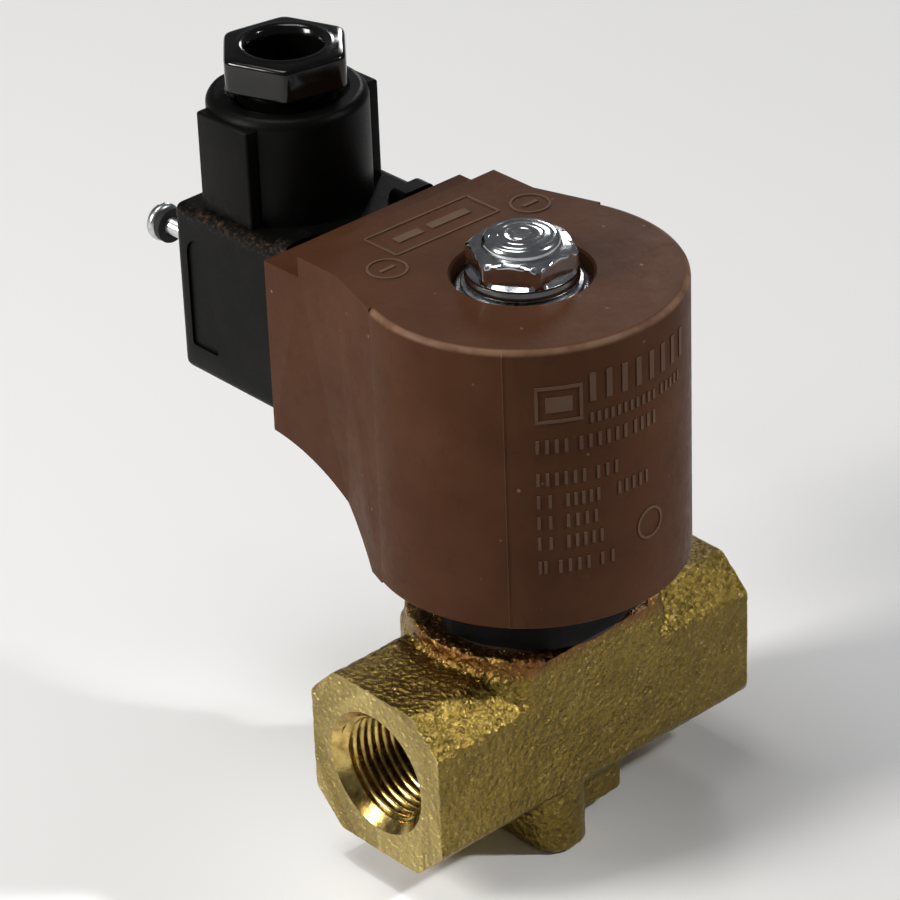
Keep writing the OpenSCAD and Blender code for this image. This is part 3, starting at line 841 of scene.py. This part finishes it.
def coil_marks(s, high):
    """Plain raised marks that stand where a maker moulds a rating plate."""
    bars = []
    left, right, base, top = -130, -113.6, 55.8, 61.2
    for start, end, low, tall in ((left, right, base, base + 0.45), (left, right, top - 0.45, top),
            (left, left + 1.1, base + 0.5, top - 0.5), (right - 1.1, right, base + 0.5, top - 0.5),
            (left + 3.6, right - 3.6, base + 1.6, top - 1.6)):
        bars.append(wrapped_bar(s, start, end, low, tall))
    rows = (
        (58.2, 62.4, 2.2, 4.2, ((-111, -66),)),
        (55.0, 56.5, 1.1, 1.5, ((-111, -84), (-81, -69))),
        (51.3, 53.3, 1.2, 2.0, ((-130, -119), (-115, -97), (-94, -84))),
        (46.4, 48.3, 1.1, 1.9, ((-130, -113), (-109, -101))),
        (43.0, 44.9, 1.1, 1.9, ((-130, -125), (-120, -108), (-101, -88))),
        (39.8, 41.7, 1.1, 1.9, ((-130, -125), (-120, -109))),
        (36.6, 38.5, 1.1, 1.9, ((-130, -125), (-120, -107))),
        (32.9, 34.8, 1.1, 1.9, ((-130, -127), (-123, -112), (-108, -103))))
    for low, tall, width, gap, spans in rows:
        for start, end in spans:
            bars += ticks(s, start, end, low, tall, width, gap)
    ring = ring_mark(s, 2.4, 0.4)
    for vert in ring.verts:
        angle = math.radians(-87) + vert.co.x / s.coil_radius
        reach = s.coil_radius + vert.co.z
        vert.co = (reach * math.cos(angle), reach * math.sin(angle), 36.4 + vert.co.y)
    bars.append(ring)
    corners = ((-8.7, 15.4), (9.9, 15.0), (9.9, 21.6), (-8.7, 22.0))
    for a, b in zip(corners, corners[1:] + corners[:1]):
        bars.append(flat_bar(s, a, b, 0.35, high.z))
    for a, b in (((-6, 18.6), (-1.5, 18.5)), ((0, 18.5), (7, 18.3))):
        bars.append(flat_bar(s, a, b, 1.6, high.z))
    for x, y in ((-12.2, 13.4), (14.4, 13.6)):
        bars.append(moved(ring_mark(s, 2.9, 0.35), (x, y, high.z)))
        bars.append(flat_bar(s, (x - 1.3, y), (x + 1.3, y), 0.6, high.z))
    return joined(*bars)


class VALVE_OT_coil(bpy.types.Operator):
    """Mould the coil with its plug boss and raised marks"""
    bl_idname = "valve.coil"
    bl_label = "Moulded coil"

    def execute(self, context):
        s = sizes(context)
        low, high = box_mm("coil_shell")
        sleeve = box_mm("armature_tube")[1].x + 0.05
        floor = high.z - s.recess_depth - 0.4
        bm = lathe([(sleeve, low.z, 0.3), (s.coil_radius, low.z, 0.6), (s.coil_radius, high.z, 0.9),
            (sleeve, high.z)], 192)
        bm = combined(bm, boss(s, low, high), "UNION")
        bm = combined(bm, lathe([(0, floor), (s.recess, floor), (s.recess, high.z - 0.3),
            (s.recess + 0.3, high.z), (s.recess + 0.3, high.z + 2), (0, high.z + 2)], 128, False))
        plug_z = node_middle("screw_insert", 2)
        bm = combined(bm, lay_along_y(cylinder(2.82, high.y - 11, high.y + 3, 48), plug_z))
        self.raise_lines(bm, s)
        piece(bm, "coil_body", "resin", "coil", ["coil_shell"], crease=28)
        piece(coil_marks(s, high), "coil_marks", "marks", "coil")
        return {"FINISHED"}

    def raise_lines(self, bm, s):
        """Raises the mould's parting line on one side of the coil."""
        angle = PARTING_LINE
        for shift in (-0.28, 0, 0.28):
            turn = angle + shift / s.coil_radius
            sliced(bm, (0, 0, 0), (-math.sin(turn), math.cos(turn), 0), dist=1e-5)
        line = Vector((math.cos(angle), math.sin(angle)))
        for vert in bm.verts:
            reach = vert.co.xy.length
            if reach > s.coil_radius - 1.2 and (vert.co.xy / reach - line).length < 0.004:
                vert.co.x += 0.11 * line.x
                vert.co.y += 0.11 * line.y


# ---------- Top nut and washers ----------

class VALVE_OT_top_nut(bpy.types.Operator):
    """Model the bright cap nut and the two washers under it"""
    bl_idname = "valve.top_nut"
    bl_label = "Cap nut and washers"

    def execute(self, context):
        low, high = box_mm("cap_nut")
        flange = high.x
        base = low.z
        hexagon_low = base + 1.5
        hexagon_high = hexagon_low + 3.3
        across = CAP_NUT_FLATS
        corner = across / math.sqrt(3)
        bm = lathe([(4.0, base), (flange, base, 0.12), (flange, base + 0.5, 0.22),
            (corner - 0.35, hexagon_low - 0.2, 0.25), (corner, hexagon_low + 0.35),
            (corner, hexagon_low + 0.8), (corner, hexagon_high - 1.0),
            (corner, hexagon_high - 0.62), (corner - 0.55, hexagon_high - 0.3),
            (corner - 1.1, hexagon_high - 0.05), (5.75, hexagon_high + 0.02),
            (5.45, hexagon_high + 0.1), (5.35, high.z - 0.55, 0.4), (4.9, high.z - 0.12),
            (4.35, high.z - 0.1),
            (4.25, high.z - 0.2), (4.1, high.z - 0.08), (3.2, high.z - 0.03),
            (3.1, high.z - 0.13), (2.95, high.z - 0.02), (1.7, high.z), (1.6, high.z - 0.09),
            (1.45, high.z), (0, high.z), (0, high.z - 2.5), (4.0, high.z - 2.5)], 180, False)
        capped(bm)
        hexagonal(bm, across, hexagon_low + 0.3, hexagon_high - 0.02, 4, 110)
        piece(bm, "cap_nut_body", "nickel_nut", "valve", ["cap_nut"], crease=45)
        self.washers()
        return {"FINISHED"}

    def washers(self):
        low, high = box_mm("plain_washer")
        bm = lathe([(4.2, low.z), (high.x, low.z, 0.15), (high.x, high.z, 0.3), (4.2, high.z)])
        piece(bm, "plain_washer_body", "zinc_steel", "valve", ["plain_washer"])
        low, high = box_mm("spring_washer")
        bm = lathe([(4.2, high.z - 0.7), (high.x, low.z, 0.15), (high.x, low.z + 0.7, 0.25),
            (4.2, high.z)])
        piece(bm, "spring_washer_body", "zinc_steel", "valve", ["spring_washer"])


# ---------- Plug ----------

class VALVE_OT_plug(bpy.types.Operator):
    """Mould the cable plug's housing with its tower"""
    bl_idname = "valve.plug"
    bl_label = "Plug housing"

    def execute(self, context):
        s = sizes(context)
        low, high = box_mm("plug_housing")
        gasket_low, gasket_high = box_mm("plug_gasket")
        seal = gasket_high.y
        roof = gasket_high.z
        wall = s.plug_wall
        shell = block((low.x, seal, low.z), (high.x, high.y, roof))
        mouth = min(shell.faces, key=lambda face: face.calc_center_median().y)
        bmesh.ops.inset_region(shell, faces=[mouth], thickness=wall, use_even_offset=True)
        inner = bmesh.ops.extrude_face_region(shell, geom=[mouth])["geom"]
        bmesh.ops.translate(shell, vec=(0, high.y - seal - wall, 0),
            verts=of_kind(inner, bmesh.types.BMVert))
        bmesh.ops.delete(shell, geom=[mouth], context="FACES_ONLY")
        rims = [e for e in shell.edges if len(e.link_faces) == 2 and e.is_convex
            and e.calc_face_angle(0) > 1]
        sides = [e for e in rims if all(v.co.y > seal + 0.01 for v in e.verts) or
            abs(e.verts[0].co.y - e.verts[1].co.y) > 1]
        bevel(shell, sides, 1.3, 4)
        tower_y = node_middle("gland_nut", 1)
        post = lathe([(0, roof - 1), (s.tower, roof - 1), (s.tower, high.z - 1.0, 0.4),
            (s.tower - 0.8, high.z, 0.5), (8.6, high.z, 0.3), (7.2, high.z - 1.1),
            (0, high.z - 1.1)], 144, False)
        pads = block((-s.pad_reach, -s.pad_width / 2, roof - 1),
            (s.pad_reach, s.pad_width / 2, high.z - s.pad_step))
        bevel(pads, [e for e in pads.edges if max(v.co.z for v in e.verts) > roof], 0.4, 3)
        for part in (pads, post):
            moved(part, (0, tower_y, 0))
            sliced(part, (0, high.y - 0.02, 0), (0, 1, 0), clear_outer=True)
            capped(part)
        bm = combined(combined(shell, pads, "UNION"), post, "UNION")
        for radius, bottom, top in ((7.2, roof + 0.6, high.z + 2), (5.2, roof - 4, roof + 2)):
            bm = combined(bm, moved(cylinder(radius, bottom, top, 96), (0, tower_y, 0)))
        centre = (low.z + roof) / 2
        screw_z = node_middle("retaining_screw", 2)
        bm = combined(bm, lay_along_y(cylinder(1.6, high.y - 4, high.y + 3, 40), screw_z))
        for side in (-1, 1):
            bm = combined(bm, self.grip(side, high.x, high.y, centre))
            bm = combined(bm, self.hump(side, high.x, seal, roof), "UNION")
        piece(bm, "plug_body", "plug_nylon", "plug", ["plug_housing"],
            crease=34)
        return {"FINISHED"}

    def grip(self, side, wall_x, back, centre):
        """The shallow finger recess in one side of the plug."""
        bm = block((-0.5, back - 8.2, centre - 8.8), (0.5, back - 2.5, centre + 8.6))
        bevel(bm, [e for e in along(bm, 0) if e.verts[0].co.z > centre], 2.6, 6)
        bevel(bm, [e for e in along(bm, 0) if e.verts[0].co.z < centre - 8], 0.6, 3)
        return moved(bm, (side * (wall_x + 0.12), 0, 0))

    def hump(self, side, wall_x, seal, roof):
        """The rounded rib on the rim next to the coil."""
        bm = block((-3.2, 0.05, -1.2), (3.2, 2.6, 1.4))
        bevel(bm, [e for e in along(bm, 1) if e.verts[0].co.z > 0], 1.2, 4)
        return moved(bm, (side * (wall_x - 3.3), seal, roof))


class VALVE_OT_gland(bpy.types.Operator):
    """Mould the cable gland's nut"""
    bl_idname = "valve.gland"
    bl_label = "Gland nut"

    def execute(self, context):
        s = sizes(context)
        low, high = box_mm("gland_nut")
        tower_y = (low.y + high.y) / 2
        corner = GLAND_NUT_FLATS / math.sqrt(3)
        base = high.z - 5.3
        bore = s.gland_bore
        bm = lathe([(bore, low.z, 0.3), (7.15, low.z, 0.4), (7.15, base), (corner, base, 0.5),
            (corner, high.z - 0.35, 0.6), (7.6, high.z - 0.12), (7.0, high.z - 0.15),
            (6.6, high.z, 0.2), (bore + 0.6, high.z, 0.5), (bore, high.z - 1.2, 0.4)], 216)
        hexagonal(bm, None, base - 0.01, high.z, -10, 34, 7.7)
        moved(bm, (0, tower_y, 0))
        piece(bm, "gland_nut_body", "gland_nylon", "gland", ["gland_nut"],
            crease=42)
        return {"FINISHED"}


class VALVE_OT_screw(bpy.types.Operator):
    """Turn the plug's long retaining screw"""
    bl_idname = "valve.screw"
    bl_label = "Retaining screw"

    def execute(self, context):
        low, high = box_mm("retaining_screw")
        centre = (low.z + high.z) / 2
        head = high.x
        shank = 1.5
        under = high.y - 2.4
        points = [(0, low.y), (1.0, low.y)]
        turns = 18
        pitch = 0.5
        for i in range(turns):
            station = low.y + 0.4 + i * pitch
            points += [(1.2, station), (shank, station + pitch / 2)]
        points += [(1.3, low.y + 0.6 + turns * pitch), (1.3, under - 1.2), (shank, under - 0.9),
            (shank, under), (head - 1.0, under + 0.05, 0.1), (head - 0.2, under + 0.45, 0.3),
            (head, under + 1.1, 0.4), (head - 0.35, high.y - 0.5, 0.4), (head - 1.4, high.y, 0.3),
            (0, high.y)]
        bm = lathe(points, 72, False)
        slot = block((-0.42, -4, high.y - 1.2), (0.42, 4, high.y + 1))
        bm = lay_along_y(combined(bm, slot), centre)
        piece(bm, "retaining_screw_body", "zinc_steel", "screw",
            ["retaining_screw"], crease=40)
        return {"FINISHED"}


class VALVE_OT_inner_parts(bpy.types.Operator):
    """Give the parts that keep their CAD shape their finishes"""
    bl_idname = "valve.inner_parts"
    bl_label = "Inner parts"

    def execute(self, context):
        slots = {part["node"]: part["material_slot"] for part in frame["record"]["subparts"]}
        names = bpy.context.scene["valve_finishes"]
        for name, obj in frame["nodes"].items():
            if obj.hide_render:
                continue
            obj.data.materials.clear()
            obj.data.materials.append(finish(slots[name]))
            if slots[name] not in names:
                raise RuntimeError("no finish for " + slots[name])
        return {"FINISHED"}


class VALVE_OT_finishes(bpy.types.Operator):
    """Make the materials"""
    bl_idname = "valve.finishes"
    bl_label = "Finishes"

    def execute(self, context):
        finishes = make_finishes(context)
        context.scene["valve_finishes"] = {key: value.name for key, value in finishes.items()}
        return {"FINISHED"}


# ---------- Studio ----------

def lamp(name, kind, energy, place, target):
    """A light at a place, turned to a target."""
    light = bpy.data.lights.new(name, kind)
    light.energy = energy
    obj = bpy.data.objects.new(name, light)
    obj.location = place
    obj.rotation_euler = (Vector(target) - Vector(place)).to_track_quat("-Z", "Y").to_euler()
    bpy.context.scene.collection.objects.link(obj)
    return light


def area_light(name, energy, size, place, target, colour=(1, 1, 1)):
    light = lamp(name, "AREA", energy, place, target)
    light.size = size
    light.color = colour


def spot_light(name, energy, cone, place, target):
    """A narrow light, with its cone in degrees."""
    light = lamp(name, "SPOT", energy, place, target)
    light.spot_size = math.radians(cone)
    light.spot_blend = 1.0
    light.shadow_soft_size = 0.03


class VALVE_OT_studio(bpy.types.Operator):
    """Set up the floor, the lights and the camera"""
    bl_idname = "valve.studio"
    bl_label = "Studio"

    def execute(self, context):
        scene = context.scene
        scene.view_settings.view_transform = "Standard"
        scene.view_settings.look = "None"
        colour = context.scene.valve_colours.floor
        bm = bmesh.new()
        bmesh.ops.create_grid(bm, x_segments=1, y_segments=1, size=4)
        moved(bm, (AXIS_X, 0, cad_box[0][2] - FLOOR_GAP))
        f = Finish("pale_floor")
        shade = f.mix(f.range(f.noise(400, 2, 0.5), 0.4, 0.6), list(colour), tint(colour, 0.985))
        new_object("floor", bm, f.done(colour=shade, roughness=0.9, specular=0.1))
        world = bpy.data.worlds.new("studio")
        world.use_nodes = True
        world.node_tree.nodes["Background"].inputs["Color"].default_value = (0.93, 0.95, 1, 1)
        world.node_tree.nodes["Background"].inputs["Strength"].default_value = 0.1
        scene.world = world
        aim = (AXIS_X, 0.01, 0.035)
        area_light("key", 6.5, 0.25, (-0.72, 0.34, 0.46), aim, (1, 0.97, 0.92))
        area_light("rim", 1.2, 0.15, (0.78, 0.6, 0.4), aim)
        area_light("glint", 1.6, 0.08, (0.57, -0.55, 0.64), aim)
        area_light("top", 3.6, 0.5, (-0.1, 0.2, 1.0), aim)
        bar_top = Vector((cad_box[0][0] + 0.006, -0.007, 0.011))
        spot_light("port_glint", 30, 5.5, bar_top + Vector((0.57, -0.55, 0.61)), bar_top)
        bar_top.y = 0
        spot_light("bar_glint", 16, 3.4, bar_top + Vector((-0.1, 0.3, 0.95)), bar_top)
        self.camera(scene)
        return {"FINISHED"}

    def camera(self, scene):
        axis = Vector((AXIS_X / MM, 0, 0))
        place = (axis + CAMERA_PLACE) * MM
        aim = (axis + CAMERA_AIM) * MM
        ahead = (aim - place).normalized()
        right = ahead.cross(Vector((0, 0, 1))).normalized()
        up = right.cross(ahead)
        roll = math.radians(CAMERA_ROLL)
        side = right * math.cos(roll) + up * math.sin(roll)
        top = -right * math.sin(roll) + up * math.cos(roll)
        data = bpy.data.cameras.new("camera")
        data.sensor_width = 36
        data.lens = CAMERA_LENS
        data.clip_start = 0.01
        data.clip_end = 20
        obj = bpy.data.objects.new("camera", data)
        turn = Matrix((side, top, -ahead)).transposed().to_4x4()
        obj.matrix_world = Matrix.Translation(place) @ turn
        scene.collection.objects.link(obj)
        scene.camera = obj


OPERATORS = (VALVE_OT_finishes, VALVE_OT_body, VALVE_OT_ports, VALVE_OT_tube_nut, VALVE_OT_coil,
    VALVE_OT_top_nut, VALVE_OT_plug, VALVE_OT_gland, VALVE_OT_screw, VALVE_OT_inner_parts,
    VALVE_OT_studio)


class VALVE_PT_panel(bpy.types.Panel):
    """The valve's operators, sizes and colours"""
    bl_idname = "VALVE_PT_panel"
    bl_label = "Solenoid valve"
    bl_space_type = "VIEW_3D"
    bl_region_type = "UI"
    bl_category = "Valve"

    def draw(self, context):
        for operator in OPERATORS:
            self.layout.operator(operator.bl_idname)
        for group in (context.scene.valve_sizes, context.scene.valve_colours):
            for key in group.__annotations__:
                self.layout.prop(group, key)


CLASSES = (ValveSizes, ValveColours, *OPERATORS, VALVE_PT_panel)


def register():
    for cls in CLASSES:
        bpy.utils.register_class(cls)
    bpy.types.Scene.valve_sizes = bpy.props.PointerProperty(type=ValveSizes)
    bpy.types.Scene.valve_colours = bpy.props.PointerProperty(type=ValveColours)


def unregister():
    del bpy.types.Scene.valve_sizes
    del bpy.types.Scene.valve_colours
    for cls in reversed(CLASSES):
        bpy.utils.unregister_class(cls)


def main():
    register()
    for operator in OPERATORS:
        group, name = operator.bl_idname.split(".")
        getattr(getattr(bpy.ops, group), name)()


if __name__ == "__main__":
    main()
